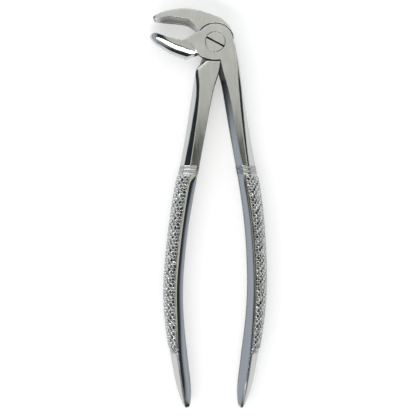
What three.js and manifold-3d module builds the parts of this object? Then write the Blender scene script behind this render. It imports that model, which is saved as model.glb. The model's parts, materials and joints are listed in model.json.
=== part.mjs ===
// Dental extraction forceps of the English pattern for lower molars, with beaks set square to the handles.
// Three pieces: a front half and a rear half that cross in a lap joint, and the slotted screw that is their pivot.
//
// Millimetres, +Z up. The forceps lies on its back with the hinge axis along Z. The handles run along -Y and the
// beaks point along -X. Everything is drawn about the hinge axis, with z = 0 on the plane where the halves lap,
// and the group is moved at the end so that the origin is the middle of the underside's box.
import * as THREE from "three";
import { mergeVertices } from "three/addons/utils/BufferGeometryUtils.js";
import Module from "manifold-3d";

// Driving dimensions.
const JOINT_DEPTH = 10; // through both laps
const HALF_DEPTH = JOINT_DEPTH / 2;
const LAP_GAP = 0.15; // from the lap plane to each half's lapped face
const DISC_RADIUS = 7.95; // the round lap of each half
const RECESS_RADIUS = 8.25; // the round shoulder that the other half's lap turns in
const BORE_RADIUS = 2.95;
const SCREW_HEAD_RADIUS = 4.3;
const SCREW_HEAD_HEIGHT = 2.2;
const SCREW_CLEARANCE = 0.15;
const SLOT_WIDTH = 0.8;
const SLOT_DEPTH = 1.1;
const SLOT_ANGLE = THREE.MathUtils.degToRad(-27);
const RING_RISE = 1.035; // the beads across the handle, as a share of its width
const RINGS = [-55.1, -56.9, -135.2]; // where the beads lie along the handle
const ROUND_SEGMENTS = 72;

// Each handle's stations, from the joint to the end: y, centre x, width, depth.
const FRONT_HANDLE = [
  [-0.9, 6.75, 4.6, 10],
  [-3.5, 6.4, 6.2, 10],
  [-7.9, 5.55, 9.7, 10],
  [-13, 6.4, 9.4, 10],
  [-17, 7.1, 9.1, 10],
  [-24, 8.2, 8.8, 9.8],
  [-37.8, 10.4, 8.7, 9.4],
  [-51.8, 12.9, 8.7, 9.5],
  [-65.5, 15.2, 8.9, 9.9],
  [-79.5, 16.9, 8.6, 10],
  [-93.5, 17.8, 8.5, 10],
  [-107.5, 18, 8.4, 10],
  [-121.5, 17.1, 8.2, 9.7],
  [-135.5, 15.2, 7.7, 9],
  [-147, 13.4, 6.8, 7.8],
  [-153.8, 12.2, 5.5, 6.2],
  [-157.3, 11.6, 4, 4.5],
  [-159.1, 11.3, 2.6, 2.9],
  [-160.1, 11.1, 1.3, 1.5],
  [-160.4, 11, 0.5, 0.6],
];
const REAR_HANDLE = [
  [-8.1, -2.15, 8.1, 10],
  [-10.5, -2.9, 9.3, 10],
  [-13.2, -3.75, 10.3, 10],
  [-17, -4.6, 9.8, 10],
  [-24, -5.9, 9, 9.8],
  [-37.8, -8.25, 8.6, 9.4],
  [-51.8, -10.8, 8.6, 9.5],
  [-65.5, -13.4, 8.8, 9.9],
  [-79.5, -15.7, 8.4, 10],
  [-93.5, -17.3, 8.3, 10],
  [-107.5, -18.2, 8.3, 10],
  [-121.5, -17.7, 8.1, 9.7],
  [-135.5, -16.1, 7.5, 9],
  [-147, -14.4, 6.8, 7.8],
  [-153.8, -13.2, 5.5, 6.2],
  [-157.3, -12.6, 4, 4.5],
  [-159.1, -12.3, 2.6, 2.9],
  [-160.1, -12.1, 1.3, 1.5],
  [-160.4, -12, 0.5, 0.6],
];

// Handle sections as shares of half the width and half the depth. u runs from the inner side (-1) to the outer
// side (1), and v from the half's lapped side (-1) to its own outer face (1).
const JOINT_SECTION = [
  [-1, -0.94], [-0.82, 0], [-0.62, 1], [0.3, 1], [0.74, 0.86],
  [1, 0.3], [1, -0.3], [0.74, -0.86], [0.3, -1], [-0.94, -1],
];
const SHANK_SECTION = [
  [-1, -0.5], [-0.94, 0.25], [-0.45, 1], [0.15, 1], [0.6, 0.8],
  [1, 0.2], [1, -0.2], [0.6, -0.8], [0.15, -1], [-0.7, -1],
];
const GRIP_SECTION = [
  [-1, -0.2], [-1, 0.2], [-0.1, 1], [0.02, 1], [0.6, 0.74],
  [1, 0.25], [1, -0.25], [0.6, -0.74], [0.02, -1], [-0.1, -1],
];
const JOINT_ENDS = -15; // the section is the joint's down to here
const SHANK_IS = -32; // the shank's here
const GRIP_STARTS = -72; // and the grip's from here

// Beak stations, from the joint to the tip: x, v of the rim on the half's own side, v of the rim on its lapped
// side, v of the back, half the depth, depth of the hollow. v is the distance from the hinge's x axis, away from
// the gap between the beaks: down for the lower beak, up for the upper one.
const LOWER_BEAK = [
  [-7.5, -3.9, -1.9, 5.6, 5, 0],
  [-10, -3, -0.9, 6.3, 5, 0.3],
  [-13, -1.35, 0.6, 6.8, 5, 1],
  [-17, -1.5, 0.4, 5.5, 4.9, 1.6],
  [-21, -2.75, -1, 3.7, 4.4, 1.6],
  [-24.5, -3.95, -2.7, 1.5, 3.6, 1.0],
  [-27.2, -4.1, -3.6, -0.8, 2.2, 0.3],
  [-28.5, -3.4, -3.2, -2.5, 0.9, 0],
];
const UPPER_BEAK = [
  [-6.9, 4.4, 4.6, 13.6, 5, 0],
  [-8.6, 5.3, 6.6, 14, 5, 0.2],
  [-10.5, 6.9, 9.2, 14.4, 5, 0.8],
  [-13.6, 8.2, 10.2, 14.6, 5, 1.4],
  [-18, 8.8, 10.8, 14.2, 4.9, 1.6],
  [-22, 9.2, 10.8, 13.3, 4.5, 1.3],
  [-24.8, 9.6, 10.1, 12.2, 3.5, 0.5],
  [-26.5, 9.9, 10.0, 11, 1.8, 0],
];
const STRIP = 1.5; // flat edge beside the rim on the half's own side
const BACK_CENTRE = -0.35; // where the beak's rounded back starts, as a share of half the depth

// Outlines in the hinge's plane.
const FRONT_NECK = [
  [-7, 3.67], [-8.5, 4.2], [-9.8, 3.2], [-11.2, 2.4], [-13, 1.4], [-13, -0.7], [-10.6, -0.9], [-9.2, -1.3],
  [-8.6, -2.8], [-7.9, -4.2], [-6.6, -5.4], [-5.2, -6.4], [-3.2, -7.25], [2.2, -7.65], [2.9, -9], [6, -6],
  [5, 0],
];
const REAR_SHOULDER = [
  [-8.6, 6.6], [-8, 14], [-4.9, 13.1], [-2.3, 12.25], [0.2, 11.35], [2.2, 10.4], [4.3, 8.8], [6, 7],
  [7.2, 5.2], [7.9, 3.5], [8.3, 1.75], [4, 0], [-5, 3], [-6.9, 4.6],
];
const REAR_NECK = [
  [3, -7], [0.3, -8], [-0.3, -12], [-6, -12], [-6.2, -10], [-5.9, -8.4], [-5.2, -6.2], [0, 0],
];

const wasm = await Module();
wasm.setup();

// A closed BufferGeometry as a manifold-3d solid.
function solid(geometry) {
  const bare = geometry.clone();
  bare.deleteAttribute("normal");
  bare.deleteAttribute("uv");
  const merged = mergeVertices(bare, 1e-4);
  return new wasm.Manifold(
    new wasm.Mesh({
      numProp: 3,
      vertProperties: merged.attributes.position.array,
      triVerts: new Uint32Array(merged.index.array),
    }),
  );
}

// A manifold-3d solid as a BufferGeometry.
function geometryOf(body) {
  const mesh = body.getMesh();
  const geometry = new THREE.BufferGeometry();
  geometry.setAttribute("position", new THREE.BufferAttribute(mesh.vertProperties, 3));
  geometry.setIndex(new THREE.BufferAttribute(mesh.triVerts, 1));
  geometry.computeVertexNormals();
  return geometry;
}

// An outline extruded from z = low to z = high.
function plate(points, low, high) {
  const shape = new THREE.Shape(points.map(([x, y]) => new THREE.Vector2(x, y)));
  const geometry = new THREE.ExtrudeGeometry(shape, { depth: high - low, bevelEnabled: false });
  return solid(geometry.translate(0, 0, low));
}

// A round plate or hole on the hinge axis.
function round(radius, low, high) {
  const geometry = new THREE.CylinderGeometry(radius, radius, high - low, ROUND_SEGMENTS);
  return solid(geometry.rotateX(Math.PI / 2).translate(0, 0, (low + high) / 2));
}

// A smooth row of values at t, through stations whose first column is the parameter.
function rowAt(stations, t) {
  const last = stations.length - 1;
  const rising = stations[last][0] > stations[0][0];
  let i = 0;
  while (i < last - 1 && (rising ? t > stations[i + 1][0] : t < stations[i + 1][0])) i += 1;
  const slope = (k, column) => {
    const before = stations[Math.max(k - 1, 0)];
    const after = stations[Math.min(k + 1, last)];
    return (after[column] - before[column]) / (after[0] - before[0]);
  };
  const [a, b] = [stations[i], stations[i + 1]];
  const span = b[0] - a[0];
  const s = THREE.MathUtils.clamp((t - a[0]) / span, 0, 1);
  const [s2, s3] = [s * s, s * s * s];
  return a.slice(1).map((_, k) => {
    const column = k + 1;
    return (
      (2 * s3 - 3 * s2 + 1) * a[column] +
      (s3 - 2 * s2 + s) * span * slope(i, column) +
      (3 * s2 - 2 * s3) * b[column] +
      (s3 - s2) * span * slope(i + 1, column)
    );
  });
}

// A closed body through rings that all have the same number of points.
function loft(rings) {
  const count = rings[0].length;
  const positions = rings.flat().flatMap((p) => [p.x, p.y, p.z]);
  const index = [];
  for (let r = 0; r < rings.length - 1; r += 1) {
    for (let k = 0; k < count; k += 1) {
      const [a, b] = [r * count + k, r * count + ((k + 1) % count)];
      index.push(a, b, b + count, a, b + count, a + count);
    }
  }
  [0, rings.length - 1].forEach((r) => {
    const flat = rings[r].map((p) => p.clone());
    const middle = flat.reduce((sum, p) => sum.add(p), new THREE.Vector3()).divideScalar(count);
    const centre = positions.push(middle.x, middle.y, middle.z) / 3 - 1;
    for (let k = 0; k < count; k += 1) {
      const [a, b] = [r * count + k, r * count + ((k + 1) % count)];
      index.push(...(r === 0 ? [b, a, centre] : [a, b, centre]));
    }
  });
  const geometry = new THREE.BufferGeometry();
  geometry.setAttribute("position", new THREE.Float32BufferAttribute(positions, 3));
  geometry.setIndex(index);
  const body = solid(geometry);
  if (body.volume() > 0) return body;
  for (let i = 0; i < index.length; i += 3) [index[i + 1], index[i + 2]] = [index[i + 2], index[i + 1]];
  geometry.setIndex(index);
  return solid(geometry);
}

// A polygon with every corner cut back to two points, which rounds it a little.
function soften(points, cut = 0.22) {
  return points.flatMap((p, i) => {
    const before = points[(i + points.length - 1) % points.length];
    const after = points[(i + 1) % points.length];
    const towards = (q) => [p[0] + (q[0] - p[0]) * cut, p[1] + (q[1] - p[1]) * cut];
    return [towards(before), towards(after)];
  });
}

// The handle's section at y, part way between the joint's, the shank's and the grip's.
function sectionAt(y) {
  const toShank = THREE.MathUtils.smoothstep(-y, -JOINT_ENDS, -SHANK_IS);
  const toGrip = THREE.MathUtils.smoothstep(-y, -SHANK_IS, -GRIP_STARTS);
  return JOINT_SECTION.map((point, i) =>
    point.map((start, axis) => {
      const shank = THREE.MathUtils.lerp(start, SHANK_SECTION[i][axis], toShank);
      return THREE.MathUtils.lerp(shank, GRIP_SECTION[i][axis], toGrip);
    }),
  );
}

// A handle from its stations. side is 1 where its outer side is +X, and face is 1 where its own face is +Z.
function handle(stations, side, face) {
  const top = stations[0][0];
  const end = stations[stations.length - 1][0];
  const places = new Set(stations.map((row) => row[0]));
  for (let y = top - 4; y > end; y -= 5) places.add(y);
  RINGS.forEach((y) => [-0.6, -0.3, 0.3, 0.6].forEach((step) => places.add(y + step)));
  const rings = [...places].sort((a, b) => b - a).map((y) => {
    const [centre, width, depth] = rowAt(stations, y);
    const onRing = RINGS.some((ring) => Math.abs(y - ring) < 0.4);
    const rise = onRing ? RING_RISE : 1;
    return soften(sectionAt(y)).map(([u, v]) => {
      const grown = u > 0 ? rise : 1;
      return new THREE.Vector3(centre + (side * u * grown * width) / 2, y, (face * v * grown * depth) / 2);
    });
  });
  return loft(rings);
}

// A beak from its stations. up is 1 where v runs along +Y, and face is 1 where the half's own face is +Z.
function beak(stations, up, face) {
  const hollowSteps = 8;
  const backSteps = 8;
  const start = stations[0][0];
  const tip = stations[stations.length - 1][0];
  const count = 18;
  const rings = [];
  for (let i = 0; i <= count; i += 1) {
    const x = start + (tip - start) * Math.sin((i / count) * Math.PI * 0.5);
    const [rim, lapRim, back, half, hollow] = rowAt(stations, x);
    const strip = Math.min(STRIP, (back - rim) * 0.35);
    const section = [];
    for (let k = 0; k <= hollowSteps; k += 1) {
      const w = 1 - (2 * k) / hollowSteps; // from the own side's rim to the lapped side's
      const chord = THREE.MathUtils.lerp(lapRim, rim, (w + 1) / 2);
      section.push([w * half, chord + hollow * (1 - w * w)]);
    }
    const middle = BACK_CENTRE * half;
    section.push([-half, back - (back - lapRim) * 0.25], [-half * 0.85, back]);
    for (let k = 0; k <= backSteps; k += 1) {
      const angle = (k / backSteps) * (Math.PI / 2);
      section.push([
        middle + (half - middle) * Math.sin(angle),
        rim + strip + (back - rim - strip) * Math.cos(angle),
      ]);
    }
    rings.push(section.map(([w, v]) => new THREE.Vector3(x, up * v, face * w)));
  }
  return loft(rings);
}

function frontHalf() {
  const lap = round(DISC_RADIUS, LAP_GAP, HALF_DEPTH).add(plate(FRONT_NECK, LAP_GAP, HALF_DEPTH));
  const through = beak(LOWER_BEAK, -1, 1)
    .add(handle(FRONT_HANDLE, 1, 1))
    .subtract(round(RECESS_RADIUS, -JOINT_DEPTH, LAP_GAP));
  return lap
    .add(through)
    .subtract(round(BORE_RADIUS, -JOINT_DEPTH, JOINT_DEPTH))
    .subtract(round(SCREW_HEAD_RADIUS + SCREW_CLEARANCE, HALF_DEPTH - SCREW_HEAD_HEIGHT, JOINT_DEPTH));
}

function rearHalf() {
  const lap = round(DISC_RADIUS, -HALF_DEPTH, -LAP_GAP).add(plate(REAR_NECK, -HALF_DEPTH, -LAP_GAP));
  const through = beak(UPPER_BEAK, 1, -1)
    .add(plate(REAR_SHOULDER, -HALF_DEPTH, HALF_DEPTH))
    .add(handle(REAR_HANDLE, -1, -1))
    .subtract(round(RECESS_RADIUS, -LAP_GAP, JOINT_DEPTH));
  return lap.add(through).subtract(round(BORE_RADIUS, -JOINT_DEPTH, JOINT_DEPTH));
}

function pivotScrew() {
  const gap = 0.15; // under the head
  const head = round(SCREW_HEAD_RADIUS, HALF_DEPTH - SCREW_HEAD_HEIGHT + gap, HALF_DEPTH);
  const shank = round(BORE_RADIUS - SCREW_CLEARANCE, -HALF_DEPTH, HALF_DEPTH - SLOT_DEPTH);
  const slot = new THREE.BoxGeometry(3 * SCREW_HEAD_RADIUS, SLOT_WIDTH, 2 * SLOT_DEPTH);
  return head.add(shank).subtract(solid(slot.rotateZ(SLOT_ANGLE).translate(0, 0, HALF_DEPTH)));
}

const forceps = new THREE.Group();
const satinSteel = new THREE.MeshStandardMaterial({ color: 0xa9aaa3, metalness: 1, roughness: 0.32 });
const screwSteel = new THREE.MeshStandardMaterial({ color: 0xa5a6a0, metalness: 1, roughness: 0.36 });
const pieces = [
  ["front_half", frontHalf(), satinSteel],
  ["rear_half", rearHalf(), satinSteel],
  ["pivot_screw", pivotScrew(), screwSteel],
];
pieces.forEach(([name, body, material]) => {
  const mesh = new THREE.Mesh(geometryOf(body), material);
  mesh.name = name;
  forceps.add(mesh);
});

// The origin is the middle of the underside's box.
const box = new THREE.Box3().setFromObject(forceps);
const middle = box.getCenter(new THREE.Vector3());
forceps.position.set(-middle.x, -middle.y, -box.min.z);

export default forceps;
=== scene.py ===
"""The looks of a pair of dental extraction forceps: polished steel, a lapped joint and knurled grips.

Every piece is drawn in millimetres about the hinge axis as a signed distance field. +Z points towards the
slotted screw head, and z = 0 is the plane where the two halves lap. Each field is meshed on a fine grid, and
the mesh is then moved to the frame's own place and scale.

In the names below, side is 1 for the right handle and -1 for the left one, and face is 1 for a part whose own
face is at the front and -1 for one whose own face is at the back.
"""

import json
import math

import bpy
import numpy as np
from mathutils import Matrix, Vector


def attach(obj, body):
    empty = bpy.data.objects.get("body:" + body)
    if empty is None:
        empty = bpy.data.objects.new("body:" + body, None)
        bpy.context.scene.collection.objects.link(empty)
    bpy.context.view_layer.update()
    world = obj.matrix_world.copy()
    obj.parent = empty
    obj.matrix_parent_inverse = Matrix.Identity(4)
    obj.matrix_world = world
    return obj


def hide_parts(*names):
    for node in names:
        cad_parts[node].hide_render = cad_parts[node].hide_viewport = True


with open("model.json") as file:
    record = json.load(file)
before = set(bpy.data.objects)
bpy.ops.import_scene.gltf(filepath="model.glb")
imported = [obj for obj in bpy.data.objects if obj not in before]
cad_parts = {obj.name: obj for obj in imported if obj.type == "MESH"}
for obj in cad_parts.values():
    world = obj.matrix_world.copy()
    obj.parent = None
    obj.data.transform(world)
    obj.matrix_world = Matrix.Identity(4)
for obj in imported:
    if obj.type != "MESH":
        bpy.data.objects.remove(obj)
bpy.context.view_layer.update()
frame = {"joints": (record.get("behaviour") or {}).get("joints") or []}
PIVOT = np.array(frame["joints"][0]["pos_m"])  # metres, in the frame
MM = 0.001

# ---------------------------------------------------------------- sizes, in millimetres about the hinge axis
HALF_DEPTH = 5.0
LAP_GAP = 0.15  # from the lap plane to each half's lapped face
DISC_RADIUS = 7.95  # the round lap of each half
RECESS_RADIUS = 8.25  # the round recess that it turns in
BORE_RADIUS = 2.95
HEAD_RADIUS = 4.3
HEAD_SINK = 2.2
HEAD_GAP = 0.07
SCREW_GAP = 0.12  # under the head and round the stem
SLOT_ANGLE = math.radians(-28)
SLOT_WIDTH = 0.75
SLOT_DEPTH = 1.2

RINGS = (-55.1, -56.9, -135.2)  # the y of the rings round the handles
RING_HEIGHT = 0.1
RING_WIDTH = 0.36
GROOVE_OFFSET = 0.75  # from a ring's middle to the grooves on both sides of it
GROOVE_WIDTH = 0.25
GRIP_START = (54.5, 63)  # down the handle, the span where a shank's section turns into a grip's
GRIP_SMOOTH = (134.5, 137)  # the span where the knurled grip turns into its smooth end
TIP_START = 147.4  # where the end of the grip starts to round, and where it stops
TIP_END = 160.4
KNURL = (-58.4, -134.2)  # the y where the knurling starts and stops
KNURL_PITCH = {1: (2.3, 1.9), -1: (2.8, 2.3)}  # along the grip and around it
KNURL_EDGE = {1: (0.12, 0.24), -1: (0.06, 0.16)}  # it rises over this span outside the crest, in half widths
KNURL_DEPTH = 0.7
KNURL_MIDDLE = 0.45  # the height in the knurling, from 0 to 1, that lies on the plain grip's surface
GRIP_RADIUS = 5.2  # for measuring round a grip
GRIP_EDGE_POWER = 26  # the higher, the sharper the edges between a grip's flats

BEVEL_SLOPE = 0.333  # the shanks' outer bevel falls by this much of its width
INNER_SLOPE = 0.87  # and their inner bevel by this much
CREST_SLOPE = 0.4  # the narrow flats inside the grips' crests
CREST_WIDTH = {1: 0.13, -1: 0.34}  # their share of half the width

BEAK_STRIP = 1.05  # the flat along a beak's rim
BEAK_REACH = 1.09  # the beak's curved side would end past its face by this, so the strip ends in a crease
BEAK_MIDDLE = {1: -0.35, -1: 0.2}  # where that curve starts in the upper and lower beak, in half depths
GROOVE_PITCH = 1.1  # the serrations inside the beaks
GROOVE_DEPTH = 0.11

SHANK_CUT = 8.0  # the right shank ends above the line x + y = SHANK_CUT
HEEL = (-12.9, -6.8)  # a point on the cut across the lower beak's heel
HEEL_FACING = (0.358, -0.934)
SHOULDER_END = (0.1, 0.22)  # the shoulder's lower edge, as height at the hinge and slope
SHOULDER_LEFT = -7.0
ARM_TOP = -8.35  # where the left shank starts under the joint
CORNER = (-3.1, -8.5)  # a point on the left shank's polished upper corner
CORNER_FACING = (-0.67, 0.75)

# y, centre x, width, depth
FRONT_HANDLE = [
    (-161, 11.0, 5.6, 6.6), (-147, 13.4, 7.0, 7.9), (-135.5, 15.2, 7.8, 9.0), (-121.5, 17.1, 8.3, 9.8),
    (-107.5, 18.0, 8.5, 10.1), (-93.5, 17.8, 8.6, 10.2), (-79.5, 16.9, 8.7, 10.2),
    (-65.5, 15.2, 8.9, 10.0), (-51.8, 12.9, 8.8, 9.5), (-37.8, 10.4, 8.8, 9.5), (-24, 8.2, 8.9, 9.9),
    (-17, 7.1, 9.3, 10.1), (-13, 6.35, 9.7, 10.4), (-7.9, 5.5, 9.9, 10.8), (-3.5, 4.75, 9.6, 11),
    (2, 4.0, 9.2, 11),
]
REAR_HANDLE = [
    (-161, -12.0, 5.6, 6.6), (-147, -14.4, 6.9, 7.9), (-135.5, -16.1, 7.6, 9.0),
    (-121.5, -17.7, 8.2, 9.8), (-107.5, -18.2, 8.4, 10.1), (-93.5, -17.3, 8.4, 10.2),
    (-79.5, -15.7, 8.5, 10.2), (-65.5, -13.4, 8.8, 10.0), (-51.8, -10.8, 8.7, 9.5),
    (-37.8, -8.3, 8.7, 9.5), (-24, -5.95, 9.1, 9.9), (-17, -4.6, 9.9, 10.1), (-13, -3.65, 10.5, 10.4),
    (-10.4, -2.9, 9.9, 10.8), (-8, -2.1, 8.9, 11), (-5, -1.4, 8.4, 11),
]
# y, where the inner bevel ends in the crest, where the outer bevel starts and ends. The last three are shares
# of half the width: -1 at the inner side and 1 at the outer one.
FRONT_EDGES = [
    (-161, 0.3, 0.1, 0.3), (-150, 0.25, 0.1, 0.3), (-135, 0.14, 0.1, 0.3), (-125, 0.0, 0.1, 0.3),
    (-107, -0.12, 0.1, 0.3), (-80, -0.2, 0.1, 0.3), (-60, -0.3, 0.12, 0.32), (-53, -0.34, 0.18, 0.38),
    (-38, -0.37, 0.34, 0.6), (-24, -0.4, 0.5, 0.8), (-16, -0.53, 0.56, 0.84), (-8, -0.57, 0.6, 0.86),
]
REAR_EDGES = [
    (-161, 0.3, -0.1, 0.5), (-147, 0.14, -0.1, 0.5), (-135, 0.02, -0.1, 0.5), (-125, -0.16, -0.1, 0.5),
    (-107, -0.24, -0.1, 0.5), (-80, -0.27, -0.1, 0.5), (-60, -0.3, -0.08, 0.56),
    (-53, -0.36, -0.06, 0.57), (-40, -0.37, 0.03, 0.54), (-30, -0.39, 0.11, 0.53),
    (-24, -0.42, 0.2, 0.56), (-17, -0.53, 0.4, 0.79), (-13.8, -0.6, 0.54, 0.92), (-8, -0.8, 0.66, 0.96),
]
# x, rim on the half's own face, rim on its lapped face, back, half the depth, depth of the hollow. The rims
# and the back are heights over the hinge: downwards for the lower beak, upwards for the upper one.
LOWER_BEAK = [
    (-28.8, -3.3, -3.1, -2.3, 0.8, 0.0), (-27.4, -4.2, -3.6, -0.6, 2.2, 0.2),
    (-24.5, -3.95, -2.7, 1.5, 3.6, 0.9), (-21, -2.75, -1.0, 3.7, 4.4, 1.6),
    (-17, -1.5, 0.4, 5.5, 4.85, 1.7), (-13, -1.35, 0.6, 6.9, 4.95, 1.1),
    (-10, -3.0, -0.9, 7.9, 4.96, 0.4), (-7.6, -4.3, -2.3, 8.6, 4.96, 0.0),
]
UPPER_BEAK = [
    (-27.2, 10.0, 10.1, 11.1, 4.2, 0.0), (-25.6, 9.7, 9.9, 12.0, 4.6, 0.3),
    (-22.6, 9.2, 10.7, 13.2, 4.85, 1.2), (-18, 8.8, 10.9, 14.2, 4.95, 1.7),
    (-13.6, 8.2, 10.3, 14.6, 5.1, 1.4), (-10.5, 6.9, 9.3, 14.4, 5.1, 0.8),
    (-8.4, 5.4, 6.6, 14.0, 5.1, 0.2), (-6, 4.2, 4.2, 13.4, 5.1, 0.0),
]
# The rear half's outline over the joint and the upper beak: degrees about the hinge, radius.
SHOULDER = [
    (8, 8.42), (20, 8.5), (35, 8.75), (49, 9.2), (64, 9.8), (79, 10.75), (90, 11.4), (100, 12.35),
    (111, 14.0), (121, 16.3), (134, 20.3), (144, 24.0), (150, 26.2),
]
# The outlines, as x and y, of the neck from the front lap to the lower beak, of the web between the upper
# beak and the rear half's recess, and of the neck from the rear lap to the left shank.
FRONT_NECK = [
    (-5, 5.4), (-6.6, 4.6), (-8.5, 4.3), (-9.9, 3.1), (-11.3, 2.2), (-13, 1.2), (-15, 0.9), (-15, 0.4),
    (-13, 0.0), (-11.2, -0.7), (-9.8, -1.9), (-8.8, -3.5), (-7.8, -5.0), (-6.5, -6.2), (-5.0, -7.0),
    (-3.0, -7.55), (0, -7.6), (3, 0),
]
REAR_WEB = [(-9.6, 8.0), (-6, 9), (-3, 3), (-6.4, 4.7), (-7.5, 5.4), (-8.4, 6.6)]
REAR_NECK = [(3.2, -6.8), (0.3, -8), (-0.3, -12), (-6, -12), (-6.6, -10), (-6.6, -8.4), (-5.5, -6.2), (0, 0)]


# ---------------------------------------------------------------- field tools
def curve(rows):
    """A natural cubic curve through rows of (t, value, ...): a function of t that returns the columns."""
    table = np.array(sorted(rows), float)
    t, v = table[:, 0], table[:, 1:]
    n, h = len(t), np.diff(t)
    left, right = np.eye(n), np.zeros_like(v)
    for i in range(1, n - 1):
        left[i, i - 1], left[i, i], left[i, i + 1] = h[i - 1], 2 * (h[i - 1] + h[i]), h[i]
        right[i] = 6 * ((v[i + 1] - v[i]) / h[i] - (v[i] - v[i - 1]) / h[i - 1])
    bend = np.linalg.solve(left, right)

    def at(x):
        x = np.clip(np.asarray(x, float), t[0], t[-1])
        i = np.clip(np.searchsorted(t, x) - 1, 0, n - 2)
        b = (x - t[i]) / h[i]
        a = 1 - b
        wide = (h[i] ** 2) / 6
        return [
            a * v[i, k] + b * v[i + 1, k] + ((a**3 - a) * bend[i, k] + (b**3 - b) * bend[i + 1, k]) * wide
            for k in range(v.shape[1])
        ]

    return at


def smin(a, b, r):
    """The union of two fields with a blend of radius r."""
    h = np.clip(0.5 + 0.5 * (b - a) / r, 0, 1)
    return b + (a - b) * h - r * h * (1 - h)


def smax(a, b, r):
    """The overlap of two fields with its edge rounded by about r."""
    return -smin(-a, -b, r)


def step(low, high, x):
    """0 below low, 1 above high and smooth between."""
    s = np.clip((x - low) / (high - low), 0, 1)
    return s * s * (3 - 2 * s)


def outline(points, x, y):
    """The signed distance in the plane to a closed outline, negative inside."""
    p = np.array(points, float)
    for _ in range(2):  # cut the corners twice, which rounds them
        after = np.roll(p, -1, axis=0)
        p = np.stack([0.75 * p + 0.25 * after, 0.25 * p + 0.75 * after], 1).reshape(-1, 2)
    best = np.full(np.broadcast(x, y).shape, 1e9)
    inside = np.zeros(best.shape, bool)
    for (ax, ay), (bx, by) in zip(p, np.roll(p, -1, axis=0)):
        ex, ey, px, py = bx - ax, by - ay, x - ax, y - ay
        s = np.clip((px * ex + py * ey) / (ex * ex + ey * ey), 0, 1)
        best = np.minimum(best, (px - ex * s) ** 2 + (py - ey * s) ** 2)
        if ay != by:
            inside ^= ((ay > y) != (by > y)) & (x < ex * py / ey + ax)
    return np.where(inside, -1, 1) * np.sqrt(best)


def norm(values, power):
    """The smooth greatest of several values, ignoring those below zero."""
    total = 0
    for value in values:
        total = total + np.maximum(value, 0) ** power
    return total ** (1 / power)


# ---------------------------------------------------------------- shapes
def bevel(x0, z0, x1, z1, x, z):
    """How far a point of a section lies above the line from (x0, z0) to (x1, z1)."""
    dx, dz = x1 - x0, z1 - z0
    return (dx * (z - z0) - dz * (x - x0)) / np.sqrt(dx * dx + dz * dz)


def shank_section(x, z, wide, deep, crest, start, end):
    """A shank: x runs from its inner side to its outer one, and z from its lapped face to its own."""
    w = np.abs(z)
    fall = (end - start) * wide * BEVEL_SLOPE
    field = smax(w - deep, -x - wide, 0.25)
    field = smax(field, bevel(start * wide, deep, end * wide, deep - fall, x, w), 0.1)
    field = smax(field, bevel(end * wide, deep - fall, wide, 0.25 * deep, x, w), 0.14)
    field = smax(field, x - wide, 0.5)
    rise = (1 + crest) * wide * INNER_SLOPE
    return smax(field, bevel(-wide, deep - rise, crest * wide, deep, x, z), 0.12)


def grip_section(x, z, wide, deep, crest, past, side, bulge):
    """A grip: inner flats meet a bulging outer side in a crest, front and back. It ends where past is 1."""
    u, v = x / wide, np.abs(z) / deep
    s = u - crest
    outside = ((np.maximum(s, 0) / (1 - crest)) ** bulge + v**bulge) ** (1 / bulge)
    beside_crest = v - s * CREST_SLOPE * wide / deep
    inner = v - (s + CREST_WIDTH[side]) * INNER_SLOPE * wide / deep
    gauge = norm([outside, beside_crest, inner, -u], GRIP_EDGE_POWER)
    return (np.sqrt(gauge**2 + past**2) - 1) * wide / 1.05


def knurl(y, around, side):
    """1 on the lattice of the diamond knurling and 0 at the bottom of its deepest pits."""
    along, across = KNURL_PITCH[side]
    bend = 0.12 * np.sin(0.8 * y + 1.1 * around)
    p = y / along + around / across + bend
    q = y / along - around / across - bend
    pit = np.abs(np.sin(np.pi * p) * np.sin(np.pi * q))
    wear = 0.78 + 0.22 * np.sin(0.9 * y + 1.3 * around) * np.sin(0.37 * y - 0.8 * around + 1)
    return 1 - wear * step(0.1, 0.85, pit)


def working(side, u, z, wide, crest, y):
    """The knurling of a grip: its height from 0 to 1, and the share of it that lies at a point."""
    outer = u - crest
    around = side * np.arctan2(z / 5.0, outer * wide / 5.4 + 1e-9) * GRIP_RADIUS
    share = step(*KNURL_EDGE[side], outer)
    share = share * step(-KNURL[0] - 0.2, -KNURL[0] + 0.5, -y)
    share = share * (1 - step(-KNURL[1] - 0.5, -KNURL[1] + 0.2, -y))
    return knurl(y, around, side), share


def handle(stations, edges, x, y, z, side, face):
    """A handle: a bevelled shank that turns into a knurled grip with a smooth rounded end."""
    centre, width, depth = curve(stations)(y)
    crest, start, end = curve(edges)(y)
    wide, deep = width / 2, depth / 2
    across = side * (x - centre)
    u = across / wide
    past = np.maximum((-y - TIP_START) / (TIP_END - TIP_START), 0)
    bulge = 2 - 0.8 * step(*GRIP_SMOOTH, -y)
    grip = grip_section(across, z, wide, deep, crest, past, side, bulge)
    shank = shank_section(across, face * z, wide, deep, crest, start, end)
    turn = step(*GRIP_START, -y)
    field = (1 - turn) * shank + turn * grip
    for ring in RINGS:
        on_grip = ring < KNURL[1]  # the lowest ring stops at the crest
        near = step(-0.1, 0.15, u - crest) if on_grip else step(-0.9, -0.5, u)
        raised = np.exp(-(((y - ring) / RING_WIDTH) ** 2))
        sunk = np.exp(-(((np.abs(y - ring) - GROOVE_OFFSET) / GROOVE_WIDTH) ** 2))
        field = field - RING_HEIGHT * near * raised
        field = field + RING_HEIGHT * near * sunk
    height, share = working(side, u, z, wide, crest, y)
    return field - KNURL_DEPTH * (height - KNURL_MIDDLE) * share


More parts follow.
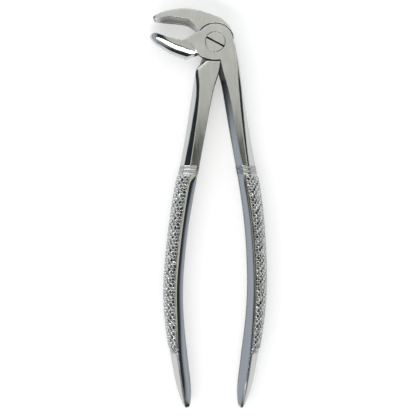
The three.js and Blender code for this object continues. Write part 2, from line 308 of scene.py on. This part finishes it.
def beak(stations, x, y, z, up, face):
    """A beak with a hollow, serrated inner side: up is 1 for the upper beak and -1 for the lower one."""
    rim, lap, back, half, hollow = curve(stations)(x)
    v, w = up * y, face * z
    s = np.clip(w / half, -1.3, 1.3)
    strip = np.minimum(BEAK_STRIP, (back - rim) * 0.35)
    if up < 0:  # the lower beak's strip widens into the neck
        strip = strip + 0.16 * np.maximum(x + 16.5, 0) ** 1.8
    inner = lap + (rim - lap) * (s + 1) / 2 + hollow * (1 - s * s)
    slope = (rim - lap) / 2 / half - 2 * hollow * s / half
    serrated = step(0.2, 0.8, hollow) * step(1.0, 0.75, np.abs(s))
    grooves = GROOVE_DEPTH * np.cos(2 * np.pi * w / GROOVE_PITCH) * serrated
    field = (inner - v + grooves) / np.sqrt(1 + slope**2)
    middle = BEAK_MIDDLE[up] * half
    reach = BEAK_REACH * (half - middle)
    fall = math.sqrt(1 - 1 / BEAK_REACH**2)
    start = (rim + strip - fall * back) / (1 - fall)
    a = np.maximum(w - middle, 0) / reach
    b = np.maximum(v - start, 0) / np.maximum(back - start, 0.3)
    curved = (np.sqrt(a * a + b * b) - 1) * np.minimum(reach, np.maximum(back - start, 0.3))
    field = smax(field, curved, 0.3)
    field = smax(field, np.abs(w) - half, 0.35)
    tip, root = stations[0][0], stations[-1][0]
    field = smax(field, tip - x, 0.5)
    return smax(field, x - root - 0.2, 0.4)


def front_half(x, y, z):
    """The half whose lap is at the front, with the lower beak and the right grip."""
    r = np.sqrt(x * x + y * y)
    lap = smin(r - DISC_RADIUS, outline(FRONT_NECK, x, y), 0.4)
    lap = smax(lap, LAP_GAP - z, 0.15)
    arm = handle(FRONT_HANDLE, FRONT_EDGES, x, y, z, 1, 1)
    arm = smax(arm, (x + y - SHANK_CUT) / math.sqrt(2), 0.5)
    jaw = beak(LOWER_BEAK, x, y, z, -1, 1)
    heel = (x - HEEL[0]) * HEEL_FACING[0] + (y - HEEL[1]) * HEEL_FACING[1]
    jaw = smax(jaw, heel, 0.25)
    through = smin(arm, jaw, 0.6)
    recess = smax(r - RECESS_RADIUS, z - LAP_GAP, 0.1)
    through = smax(through, -recess, 0.15)
    field = smin(lap, through, 0.25)
    field = smax(field, np.abs(z) - HALF_DEPTH, 0.22)
    field = smax(field, BORE_RADIUS - r, 0.1)
    well = np.maximum(r - HEAD_RADIUS - HEAD_GAP, HALF_DEPTH - HEAD_SINK - z)
    return smax(field, -well, 0.08)


def rear_half(x, y, z):
    """The half whose lap is at the back, with the upper beak, its shoulder and the left grip."""
    r = np.sqrt(x * x + y * y)
    turn = np.degrees(np.arctan2(y, x))
    (edge,) = curve(SHOULDER)(turn)
    shoulder = (r - edge) * 0.9
    height, tilt = SHOULDER_END
    shoulder = smax(shoulder, -(y - tilt * x - height) / 1.02, 0.3)
    shoulder = smax(shoulder, SHOULDER_LEFT - x, 0.3)
    shoulder = smin(shoulder, outline(REAR_WEB, x, y), 0.4)
    jaw = beak(UPPER_BEAK, x, y, z, 1, -1)
    through = smin(shoulder, jaw, 0.6)
    arm = handle(REAR_HANDLE, REAR_EDGES, x, y, z, -1, -1)
    arm = smax(arm, y - ARM_TOP, 0.25)
    corner = (x - CORNER[0]) * CORNER_FACING[0] + (y - CORNER[1]) * CORNER_FACING[1]
    arm = smax(arm, corner - 1.5, 1.0)
    near_face = np.abs(z) - HALF_DEPTH
    arm = smax(arm, (0.333 * corner + near_face) / 1.054, 0.1)  # a shallow facet
    arm = smax(arm, (1.5 * (corner - 0.7) + 0.233 + near_face) / 1.8, 0.15)  # and a steep one outside it
    through = np.minimum(through, arm)
    recess = smax(r - RECESS_RADIUS, -z - LAP_GAP, 0.1)
    through = smax(through, -recess, 0.15)
    lap = smin(r - DISC_RADIUS, outline(REAR_NECK, x, y), 0.6)
    lap = smax(lap, z + LAP_GAP, 0.15)
    field = smin(lap, through, 0.4)
    field = smax(field, np.abs(z) - HALF_DEPTH, 0.22)
    return smax(field, BORE_RADIUS - r, 0.12)


def pivot_screw(x, y, z):
    """The slotted screw, from its flush head to its flush tail."""
    r = np.sqrt(x * x + y * y)
    head = smax(r - HEAD_RADIUS, HALF_DEPTH - HEAD_SINK + SCREW_GAP - z, 0.1)
    stem = r - BORE_RADIUS + SCREW_GAP
    field = np.minimum(head, smax(stem, z - HALF_DEPTH + 0.5, 0.05))
    field = smax(field, np.abs(z) - HALF_DEPTH, 0.25)
    across = -x * math.sin(SLOT_ANGLE) + y * math.cos(SLOT_ANGLE)
    slot = np.maximum(np.abs(across) - SLOT_WIDTH / 2, HALF_DEPTH - SLOT_DEPTH - z)
    return smax(field, -slot, 0.12)


# ---------------------------------------------------------------- meshing
def spaced(*spans):
    """Grid lines from spans of (start, end, spacing)."""
    lines = [np.linspace(a, b, max(2, round(abs(b - a) / s) + 1))[:-1] for a, b, s in spans]
    return np.concatenate(lines + [np.array([float(spans[-1][1])])])


def slope(field, x, y, z, e=0.01):
    """The field's gradient at points."""
    return np.stack(
        [
            field(x + e, y, z) - field(x - e, y, z),
            field(x, y + e, z) - field(x, y - e, z),
            field(x, y, z + e) - field(x, y, z - e),
        ],
        1,
    ) / (2 * e)


def untangle(grid):
    """Fills in the grid's samples where two sheets of the surface would meet in one cell."""

    def corner(axis, first, second):
        """The samples at one corner of every square across an axis: 0 is the low side and 1 the high one."""
        sides = [(slice(None, -1), slice(1, None))[k] for k in (first, second)]
        sides.insert(axis, slice(None))
        return tuple(sides)

    for _ in range(12):
        inside = grid < 0
        changed = 0
        for axis in range(3):
            spots = [corner(axis, *c) for c in ((0, 0), (0, 1), (1, 0), (1, 1))]
            a, b, c, d = (inside[spot] for spot in spots)
            for bad, spot in ((a & d & ~b & ~c, spots[1]), (b & c & ~a & ~d, spots[0])):
                changed += int(bad.sum())
                view = grid[spot]
                view[bad] = -1e-3  # just inside
        if not changed:
            break
    return grid


def upright(y):
    """The lean of a grid that doesn't lean."""
    return 0 * y


def surface(field, xs, ys, zs, lean):
    """A field's surface on a grid, as vertices, quads and normals. lean(y) slides each row of the grid in X.

    The grid's axes are y, x and z. Every cell that the surface passes through gets one vertex, and every edge
    of the grid that crosses the surface gets one quad.
    """
    shift = lean(ys)
    grid = np.empty((len(ys), len(xs), len(zs)))
    for j in range(len(ys)):
        grid[j] = field((xs + shift[j])[:, None], ys[j], zs[None, :])
    grid = untangle(grid)
    full = grid < 0
    across = np.broadcast_to((xs[None, :] + shift[:, None])[:, :, None], grid.shape)
    along = np.broadcast_to(ys[:, None, None], grid.shape)
    place = np.stack([across, along, np.broadcast_to(zs, grid.shape)], -1)
    cells = tuple(n - 1 for n in grid.shape)
    total = np.zeros(cells + (3,))
    count = np.zeros(cells)
    crossings = []
    for axis in range(3):
        low = [slice(None)] * 3
        high = [slice(None)] * 3
        low[axis], high[axis] = slice(None, -1), slice(1, None)
        a, b = grid[tuple(low)], grid[tuple(high)]
        cross = full[tuple(low)] != full[tuple(high)]
        index = np.argwhere(cross)
        crossings.append((axis, index, full[tuple(low)][cross]))
        s = (a[cross] / (a[cross] - b[cross]))[:, None]
        point = place[tuple(low)][cross] * (1 - s) + place[tuple(high)][cross] * s
        others = [k for k in range(3) if k != axis]
        for da in (0, -1):
            for db in (0, -1):
                cell = index.copy()
                cell[:, others[0]] += da
                cell[:, others[1]] += db
                good = ((cell >= 0) & (cell < np.array(cells))).all(1)
                spot = tuple(cell[good].T)
                np.add.at(total, spot, point[good])
                np.add.at(count, spot, 1)
    used = count > 0
    number = np.full(used.shape, -1)
    number[used] = np.arange(used.sum())
    verts = total[used] / count[used][:, None]
    quads = []
    for axis, index, inside in crossings:
        others = [k for k in range(3) if k != axis]
        corners = []
        for da, db in ((0, 0), (-1, 0), (-1, -1), (0, -1)):
            cell = index.copy()
            cell[:, others[0]] += da
            cell[:, others[1]] += db
            corners.append(number[tuple(cell.T)])
        quad = np.stack(corners, 1)
        flip = inside if axis != 1 else ~inside  # squares across X turn the other way
        quad[flip] = quad[flip][:, ::-1]
        quads.append(quad)
    quads = np.concatenate(quads)
    for _ in range(4):  # move the vertices onto the surface
        g = slope(field, *verts.T)
        size = np.maximum((g * g).sum(1), 0.05)
        move = (field(*verts.T) / size)[:, None] * g
        length = np.linalg.norm(move, axis=1)[:, None]
        verts = verts - move * np.minimum(1, 0.08 / np.maximum(length, 1e-9))
    g = slope(field, *verts.T, e=0.03)
    return verts, quads, g / np.maximum(np.linalg.norm(g, axis=1), 1e-9)[:, None]


def piece(name, field, looks, xs, ys, zs, lean=upright):
    """A Blender object made from a field. looks(x, y, z, normal) gives its satin, its painted shade in pits
    and its painted shade elsewhere.
    """
    verts, quads, normals = surface(field, xs, ys, zs, lean)
    mesh = bpy.data.meshes.new(name)
    mesh.from_pydata((verts * MM + PIVOT).tolist(), [], quads.tolist())
    mesh.polygons.foreach_set("use_smooth", np.ones(len(mesh.polygons), bool))
    mesh.normals_split_custom_set_from_vertices(normals.tolist())
    for label, values in zip(("satin", "painted_pit_shade", "painted_shade"), looks(*verts.T, normals)):
        layer = mesh.attributes.new(label, "FLOAT", "POINT")
        layer.data.foreach_set("value", np.clip(values, 0, 1).astype(np.float32))
    obj = bpy.data.objects.new(name, mesh)
    bpy.context.scene.collection.objects.link(obj)
    print("PIECE", name, len(verts), "vertices", len(quads), "quads", flush=True)
    return obj


def half_looks(stations, edges, side, beak_face, hollow):
    """Where a half is satin-ground, where painted shade darkens the pits of its knurling, and where painted
    shade darkens the steel elsewhere.

    beak_face(x, y) and hollow(x, y) are 1 on a satin beak face and in a beak's hollow, which gets painted
    shade.
    """

    def looks(x, y, z, normal):
        centre, width, _ = curve(stations)(y)
        crest = curve(edges)(y)[0]
        u = side * (x - centre) / (width / 2)
        up = np.abs(normal[:, 2])
        wall = step(0.97, 0.88, up)

        # the rings, and the satin faces of the joint, the shanks and the beak
        rings = sum(np.exp(-(((y - ring) / 1.1) ** 4)) for ring in RINGS)
        ringed = np.minimum(rings * step(0.04, 0.12, np.abs(normal[:, 1])), 1)
        flat = step(0.975, 0.990, up) * step(-55, -54, y) * (0.3 + 0.7 * step(-50, -22, y))
        on_beak = step(0.86, 0.93, up) * beak_face(x, y)
        satin = np.maximum.reduce([flat, on_beak, 0.7 * ringed])

        # painted shade in the deepest parts of the knurling, which is also rougher there
        height, share = working(side, u, z, width / 2, crest, y)
        painted_pit_shade = (1 - step(0.12, 0.72, height)) * share

        # painted shade between the shanks, in the throat under the joint, in the upper beak's hollow and tip,
        # along the crest and on the rings
        # painted shade on the inner walls between the shanks, standing in for a dark reflection
        crotch = step(-6, -8.5, y) * step(-46, -14, y) * step(-0.2, -0.5, u) * wall
        crotch = (0.95 + 0.05 * step(-30, -14, y)) * crotch
        # painted shade on the walls under the joint, which face down and sideways
        throat = step(-9.4, -8.9, y) * step(-3, -5, y) * step(-10, -9, x) * step(4, 3, x) * step(0.7, 0.5, up)
        tip = step(-25.4, -26.4, x)
        # painted shade in the upper beak's hollow, stronger at its tip where it hides a highlight
        hollow_shade = (0.38 + 0.3 * tip) * step(0.3, 0.7, hollow(x, y)) * step(0.99, 0.94, up)
        # painted shade along the grips' crests, wider at the ends, where it hides reflected highlights
        end = step(-142, -156, y)
        middle = 0.02 - (0.12 if side > 0 else 0.04) * end
        line = np.exp(-(((u - crest - middle) / (0.08 + 0.13 * end)) ** 2))
        reach = step(-58, -62, y) if side > 0 else step(-116, -138, y)
        line = 0.9 * line * reach * step(0.4, 0.7, up)
        # the rings get 0.45 of the full painted shade, which tones down their reflections
        return satin, painted_pit_shade, np.maximum.reduce([crotch, throat, hollow_shade, line, 0.45 * ringed])

    return looks


def plain(x, y):
    """Nowhere: the lower beak has neither a satin face nor a hollow with painted shade."""
    return 0 * x


def upper_face(x, y):
    """The upper beak's face."""
    return step(8.6, 9.6, y) * step(-5, -10, x)


def upper_hollow(x, y):
    """The upper beak's inner side and tip, which get painted shade."""
    rim = curve(UPPER_BEAK)(x)[1]
    inside = step(-6, -8, x) * step(0.1, -0.3, y - rim) * (y > 3)
    return np.maximum(inside, step(-25.8, -26.6, x))


def screw_looks(x, y, z, normal):
    """The screw's ends are satin, and its slot is darkened with painted shade."""
    across = np.abs(-x * math.sin(SLOT_ANGLE) + y * math.cos(SLOT_ANGLE))
    deep = step(0.1, 0.5, HALF_DEPTH - z) * (across < SLOT_WIDTH / 2 + 0.2)
    return step(0.9, 0.99, np.abs(normal[:, 2])), deep, 0 * x


def lean_of(stations, top):
    """How far each row of the grid slides to follow a handle's middle line below y = top."""
    middle = curve(stations)
    start = middle(np.array([top]))[0][0]
    return lambda y: np.where(y < top, middle(np.minimum(y, top))[0] - start, 0.0)


FINE = 1.0  # what the grids' spacings are multiplied by
JOINT = -16  # the y where the handles start and the joint's finer rows end
HANDLE_ROWS = (
    (-161.2, -157.5, 0.25 * FINE), (-157.5, -137, 0.45 * FINE), (-137, -54, 0.29 * FINE),
    (-54, JOINT, 0.6 * FINE),
)
DEPTH_ROWS = spaced(
    (-5.4, -4.2, 0.2 * FINE), (-4.2, -0.7, 0.32 * FINE), (-0.7, 0.7, 0.2 * FINE), (0.7, 4.2, 0.32 * FINE),
    (4.2, 5.4, 0.2 * FINE),
)
front = piece(
    "front_half_steel", front_half, half_looks(FRONT_HANDLE, FRONT_EDGES, 1, plain, plain),
    spaced((-29.4, 12.4, 0.27 * FINE)), spaced(*HANDLE_ROWS, (JOINT, 8.6, 0.25 * FINE)), DEPTH_ROWS,
    lean_of(FRONT_HANDLE, JOINT),
)
rear = piece(
    "rear_half_steel", rear_half, half_looks(REAR_HANDLE, REAR_EDGES, -1, upper_face, upper_hollow),
    spaced((-27.8, 9.4, 0.27 * FINE)), spaced(*HANDLE_ROWS, (JOINT, 15.4, 0.25 * FINE)), DEPTH_ROWS,
    lean_of(REAR_HANDLE, JOINT),
)
SCREW_ROWS = spaced((-4.7, 4.7, 0.15 * FINE))
screw = piece(
    "screw_steel", pivot_screw, screw_looks, SCREW_ROWS, SCREW_ROWS, spaced((-5.3, 5.3, 0.15 * FINE)),
)


# ---------------------------------------------------------------- steel
COLOUR_A, COLOUR_B, MIXED_COLOUR = 6, 7, 2  # the sockets of a Mix node that mixes colours


def steel(name, colour, rough_satin, rough_polished):
    """Ground and polished steel. Each piece's own attributes say where it is satin and where painted shade
    darkens it, in pits and elsewhere.
    """
    mat = bpy.data.materials.new(name)
    mat.use_nodes = True
    nodes, links = mat.node_tree.nodes, mat.node_tree.links
    bsdf = nodes["Principled BSDF"]

    def share(label):
        """One of the piece's own attributes."""
        node = nodes.new("ShaderNodeAttribute")
        node.attribute_name = label
        return node.outputs["Fac"]

    def mapped(source, low, high, a=0.0, b=1.0):
        """Low where the source is a, high where it is b, and held beyond them."""
        node = nodes.new("ShaderNodeMapRange")
        for key, value in (("From Min", a), ("From Max", b), ("To Min", low), ("To Max", high)):
            node.inputs[key].default_value = value
        links.new(source, node.inputs["Value"])
        return node.outputs["Result"]

    def maths(kind, a, b):
        node = nodes.new("ShaderNodeMath")
        node.operation = kind
        for k, value in enumerate((a, b)):
            if isinstance(value, float):
                node.inputs[k].default_value = value
            else:
                links.new(value, node.inputs[k])
        return node.outputs[0]

    def noise(scale, detail, stretch=(1, 1, 1)):
        """Noise fixed to the piece."""
        place = nodes.new("ShaderNodeTexCoord")
        fit = nodes.new("ShaderNodeMapping")
        fit.inputs["Scale"].default_value = stretch
        links.new(place.outputs["Object"], fit.inputs["Vector"])
        node = nodes.new("ShaderNodeTexNoise")
        node.inputs["Scale"].default_value = scale
        node.inputs["Detail"].default_value = detail
        links.new(fit.outputs["Vector"], node.inputs["Vector"])
        return node.outputs["Fac"]

    def swirl():
        """Fine turning marks around the screw, strongest near it."""
        place = nodes.new("ShaderNodeTexCoord")
        centre = nodes.new("ShaderNodeVectorMath")
        centre.operation = "SUBTRACT"
        centre.inputs[1].default_value = PIVOT
        links.new(place.outputs["Object"], centre.inputs[0])
        wave = nodes.new("ShaderNodeTexWave")
        wave.wave_type = "RINGS"
        wave.rings_direction = "Z"
        wave.inputs["Scale"].default_value = 420
        wave.inputs["Distortion"].default_value = 3
        wave.inputs["Detail"].default_value = 2
        links.new(centre.outputs["Vector"], wave.inputs["Vector"])
        far = nodes.new("ShaderNodeVectorMath")
        far.operation = "LENGTH"
        links.new(centre.outputs["Vector"], far.inputs[0])
        near = mapped(far.outputs["Value"], 1, 0, 0.004, 0.013)
        return maths("MULTIPLY", mapped(wave.outputs["Fac"], -0.07, 0.07), near)

    satin, painted_pit_shade, painted_shade = share("satin"), share("painted_pit_shade"), share("painted_shade")
    grain = noise(900, 3, (1, 0.12, 1))  # long marks down the handles
    clouds = noise(160, 2)
    tone = maths("ADD", mapped(grain, -0.045, 0.045, 0.3, 0.7), mapped(clouds, -0.05, 0.05, 0.3, 0.7))
    tone = maths("ADD", tone, maths("MULTIPLY", swirl(), mapped(clouds, 0.2, 1.0, 0.4, 0.6)))
    shade = maths("ADD", 1.0, maths("MULTIPLY", tone, satin))
    # painted shade: darker in the knurling's pits and in the screw's slot
    shade = maths("MULTIPLY", shade, mapped(painted_pit_shade, 1.0, 0.08))
    # painted shade: much darker between the shanks, under the joint, in the upper beak's hollow, along the
    # crests and on the rings
    shade = maths("MULTIPLY", shade, mapped(painted_shade, 1.0, 0.1))
    tint = nodes.new("ShaderNodeMix")
    tint.data_type = "RGBA"
    tint.blend_type = "MULTIPLY"
    tint.inputs["Factor"].default_value = 1.0
    tint.inputs[COLOUR_A].default_value = (*colour, 1)
    links.new(shade, tint.inputs[COLOUR_B])
    links.new(tint.outputs[MIXED_COLOUR], bsdf.inputs["Base Color"])
    full_shade = mapped(painted_shade, 0.0, 1.0, 0.96, 1.0)  # only full painted shade makes the steel a dark, rough non-metal
    links.new(mapped(full_shade, 1.0, 0.15), bsdf.inputs["Metallic"])
    rough = maths("MAXIMUM", mapped(satin, rough_polished, rough_satin), mapped(painted_shade, 0.0, 0.35))
    rough = maths("MAXIMUM", rough, mapped(full_shade, 0.0, 0.95))
    rough = maths("ADD", rough, mapped(grain, -0.02, 0.03, 0.3, 0.7))
    links.new(maths("MAXIMUM", rough, mapped(painted_pit_shade, 0.0, 0.55)), bsdf.inputs["Roughness"])
    bump = nodes.new("ShaderNodeBump")
    bump.inputs["Strength"].default_value = 0.08
    bump.inputs["Distance"].default_value = 0.00004
    links.new(maths("MULTIPLY", grain, satin), bump.inputs["Height"])
    links.new(bump.outputs["Normal"], bsdf.inputs["Normal"])
    return mat


forceps_steel = steel("forceps_steel", (0.56, 0.565, 0.55), 0.38, 0.09)
screw_steel = steel("screw_steel", (0.56, 0.565, 0.54), 0.4, 0.2)
front.data.materials.append(forceps_steel)
rear.data.materials.append(forceps_steel)
screw.data.materials.append(screw_steel)
for obj, body, node, slot in (
    (front, "front", "front_half", "forceps_steel"),
    (rear, "rear", "rear_half", "forceps_steel"),
    (screw, "rear", "pivot_screw", "screw_steel"),
):
    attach(obj, body)
    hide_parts(node)


# ---------------------------------------------------------------- stage
def floor_sheet(half_width, z, grey, rough, glow):
    """A plain floor, lit a little from within like a light table."""
    mesh = bpy.data.meshes.new("floor")
    corners = [(-half_width, -half_width), (half_width, -half_width), (half_width, half_width)]
    corners.append((-half_width, half_width))
    mesh.from_pydata([(*corner, z) for corner in corners], [], [(0, 1, 2, 3)])
    obj = bpy.data.objects.new("floor", mesh)
    bpy.context.scene.collection.objects.link(obj)
    mat = bpy.data.materials.new("floor")
    mat.use_nodes = True
    bsdf = mat.node_tree.nodes["Principled BSDF"]
    bsdf.inputs["Base Color"].default_value = (grey, grey, grey, 1)
    bsdf.inputs["Roughness"].default_value = rough
    bsdf.inputs["Emission Color"].default_value = (1, 1, 1, 1)
    bsdf.inputs["Emission Strength"].default_value = glow
    mesh.materials.append(mat)
    return obj


floor = floor_sheet(half_width=3, z=-0.0002, grey=0.62, rough=0.6, glow=0.44)


def soft_box(name, at, size, power):
    """A soft box that faces the origin."""
    data = bpy.data.lights.new(name, "AREA")
    data.shape = "RECTANGLE"
    data.size, data.size_y = size
    data.energy = power
    obj = bpy.data.objects.new(name, data)
    obj.location = at
    obj.rotation_euler = (-Vector(at)).to_track_quat("-Z", "Y").to_euler()
    bpy.context.scene.collection.objects.link(obj)


soft_box("near_low", (-0.40, -0.88, 1.0), (2.1, 0.2), 6.5)
soft_box("near_high", (-0.34, -0.73, 1.14), (1.8, 0.17), 5.5)
soft_box("far_box", (0, 1.0, 0.85), (2.6, 1.5), 14)

world = bpy.data.worlds.new("studio")
world.use_nodes = True
nodes, links = world.node_tree.nodes, world.node_tree.links
place = nodes.new("ShaderNodeTexCoord")
split = nodes.new("ShaderNodeSeparateXYZ")
links.new(place.outputs["Generated"], split.inputs[0])


def room(stops):
    """The room's colour by height: 0 at the horizon, 1 overhead."""
    ramp = nodes.new("ShaderNodeValToRGB")
    while len(ramp.color_ramp.elements) < len(stops):
        ramp.color_ramp.elements.new(0.5)
    for stop, (spot, colour) in zip(ramp.color_ramp.elements, stops):
        stop.position = spot
        stop.color = (*colour, 1)
    links.new(split.outputs["Z"], ramp.inputs["Fac"])
    return ramp.outputs["Color"]


DARK = (0.03, 0.035, 0.045)
OVERHEAD = (
    (0.74, DARK), (0.86, DARK), (0.9, (0.74, 0.755, 0.66)), (0.985, (0.80, 0.81, 0.70)), (0.991, DARK),
)
SIDE_WALL = ((0.0, (0.47, 0.52, 0.62)), (0.35, (0.57, 0.62, 0.70)), (0.64, (0.38, 0.42, 0.48)))
beside = room((*SIDE_WALL, *OVERHEAD))
before = room(((0.0, DARK), *OVERHEAD))  # the near and far walls are dark

away = nodes.new("ShaderNodeMath")
away.operation = "ABSOLUTE"
links.new(split.outputs["Y"], away.inputs[0])
turned = nodes.new("ShaderNodeMapRange")
turned.interpolation_type = "SMOOTHSTEP"
turned.inputs["From Min"].default_value = 0.5
turned.inputs["From Max"].default_value = 0.8
links.new(away.outputs[0], turned.inputs["Value"])
mix = nodes.new("ShaderNodeMix")
mix.data_type = "RGBA"
links.new(turned.outputs["Result"], mix.inputs["Factor"])
links.new(beside, mix.inputs[COLOUR_A])
links.new(before, mix.inputs[COLOUR_B])
links.new(mix.outputs[MIXED_COLOUR], nodes["Background"].inputs["Color"])
nodes["Background"].inputs["Strength"].default_value = 1.0
bpy.context.scene.world = world
bpy.context.scene.view_settings.view_transform = "Standard"

# ---------------------------------------------------------------- camera
SENSOR = 36  # mm
DISTANCE = 0.5  # m, straight above the forceps
VIEW_WIDTH = 0.18304  # m, what the camera takes in at that distance
AIM = (-0.00318, -0.0725)  # m from the hinge to the middle of the view
camera_data = bpy.data.cameras.new("camera")
camera_data.sensor_width = SENSOR
camera_data.lens = SENSOR * DISTANCE / VIEW_WIDTH
camera = bpy.data.objects.new("camera", camera_data)
camera.location = (PIVOT[0] + AIM[0], PIVOT[1] + AIM[1], PIVOT[2] + DISTANCE)
bpy.context.scene.collection.objects.link(camera)
bpy.context.scene.camera = camera
